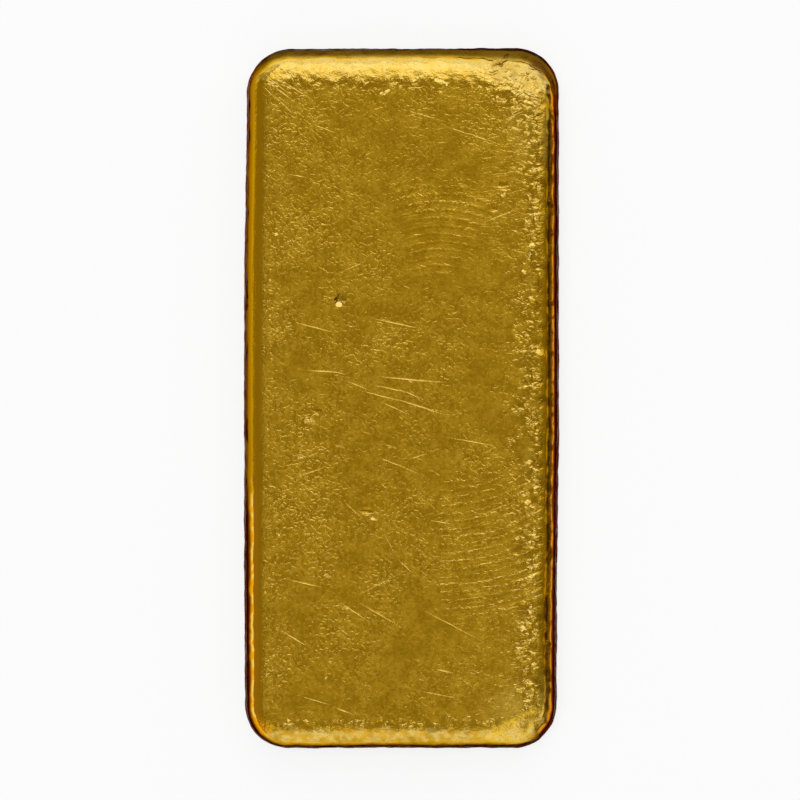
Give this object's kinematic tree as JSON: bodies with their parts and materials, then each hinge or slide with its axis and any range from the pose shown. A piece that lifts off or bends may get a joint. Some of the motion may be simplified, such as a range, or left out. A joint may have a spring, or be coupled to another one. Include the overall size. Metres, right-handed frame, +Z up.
{
  "type": "cast gold bar",
  "caption": "Flat cast ingot of fine gold with drafted sides, round plan corners and rounded edges; raw bullion stock that lies flat and stacks.",
  "frame": {"origin": "centre of the poured side that the bar lies on, at floor level", "axes": "+Z up, out of the scrubbed face; +Y along the bar's length; +X across its width"},
  "size_m": [0.0526, 0.117, 0.0088],
  "materials": {
    "gold": "as-cast gold, scrubbed to a satin face with fine scratches and glossier rounded edges"
  },
  "bodies": {
    "root": {"ingot": "gold"}
  },
  "joints": []
}
